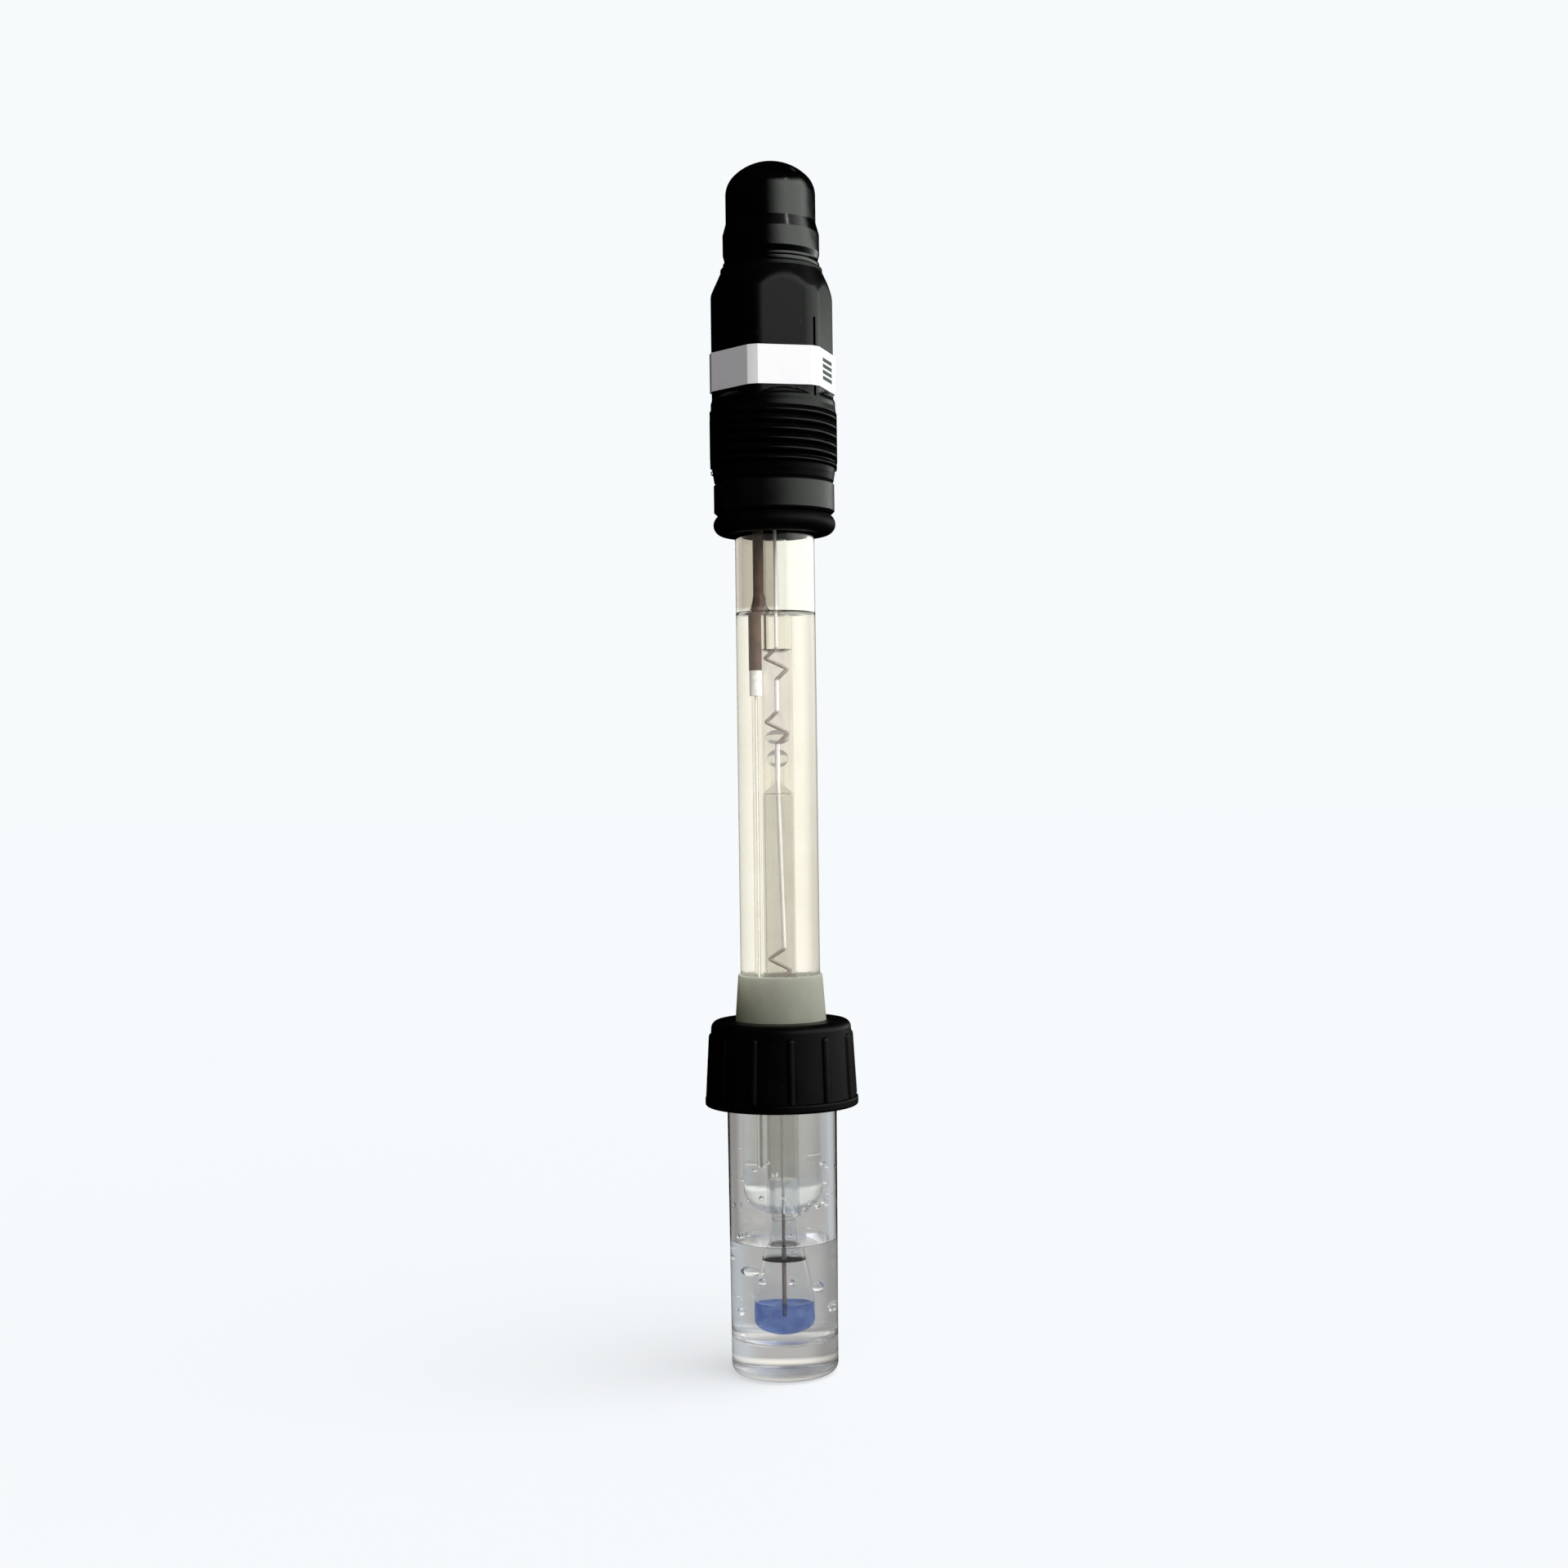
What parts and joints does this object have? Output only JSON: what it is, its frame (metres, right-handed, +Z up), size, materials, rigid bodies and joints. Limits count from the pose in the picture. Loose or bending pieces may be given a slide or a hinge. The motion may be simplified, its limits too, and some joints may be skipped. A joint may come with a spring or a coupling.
{
  "type": "ph electrode",
  "caption": "Process pH electrode: gel-filled glass shaft, threaded hexagon head, booted connector and a screw-clamped storage vial over the sensing bulb.",
  "frame": {"origin": "centre of the storage vial's flat base, where the part stands", "axes": "+Z up along the shaft towards the connector, -Y towards the front"},
  "size_m": [0.023, 0.023, 0.1823],
  "materials": {
    "boot_vinyl": "soft gloss",
    "head_plastic": "satin moulded",
    "ring_plastic": "satin moulded",
    "thrust_plastic": "satin moulded",
    "seal_rubber": "matte",
    "label_film": "smooth film",
    "plated_brass": "nickel plated",
    "contact_plating": "gold plated",
    "insulator_white": "smooth",
    "potting_resin": "cast",
    "cement": "cast",
    "shaft_glass": "clear",
    "bulb_glass": "clear",
    "clear_gel": "clear gel",
    "grey_gel": "cloudy gel",
    "blue_gel": "coloured gel",
    "silver": "drawn wire",
    "brown_sleeve": "satin",
    "white_plug": "fibrous",
    "junction_ceramic": "porous",
    "seal_silicone": "matte silicone",
    "vial_plastic": "clear"
  },
  "bodies": {
    "electrode": {"connector_shell": "plated_brass", "connector_seal": "seal_rubber", "connector_insulator": "insulator_white", "centre_contact": "contact_plating", "plug_head": "head_plastic", "label_band": "label_film", "head_potting": "potting_resin", "head_cement": "cement", "thrust_ring": "thrust_plastic", "shaft_o_ring": "seal_rubber", "outer_tube": "shaft_glass", "inner_tube": "shaft_glass", "ph_bulb": "bulb_glass", "bulb_buffer": "blue_gel", "inner_buffer": "clear_gel", "gel_column": "grey_gel", "upper_buffer": "clear_gel", "inner_lead": "silver", "reference_gel": "clear_gel", "reference_sleeve": "brown_sleeve", "reference_plug": "white_plug", "reference_capillary": "shaft_glass", "reference_lead": "silver", "ceramic_junction": "junction_ceramic"},
    "boot": {"connector_boot": "boot_vinyl"},
    "vial": {"storage_vial": "vial_plastic"},
    "seal": {"seal_sleeve": "seal_silicone"},
    "ring": {"screw_ring": "ring_plastic"}
  },
  "joints": [
    {"name": "boot_pull", "type": "slide", "parent": "electrode", "child": "boot", "axis": [0, 0, 1], "range_m": [0, 0.016]},
    {"name": "vial_pull", "type": "slide", "parent": "electrode", "child": "vial", "axis": [0, 0, -1], "range_m": [0, 0.06]},
    {"name": "seal_rise", "type": "slide", "parent": "vial", "child": "seal", "axis": [0, 0, 1], "range_m": [0, 0.005]},
    {"name": "ring_turn", "type": "hinge", "parent": "seal", "child": "ring", "pos_m": [0, 0, 0.0468], "axis": [0, 0, 1], "range_deg": [0, 720]}
  ],
  "couplings": [
    {"joint": "seal_rise", "follows": "ring_turn", "m_per_rad": 0.00039789}
  ]
}
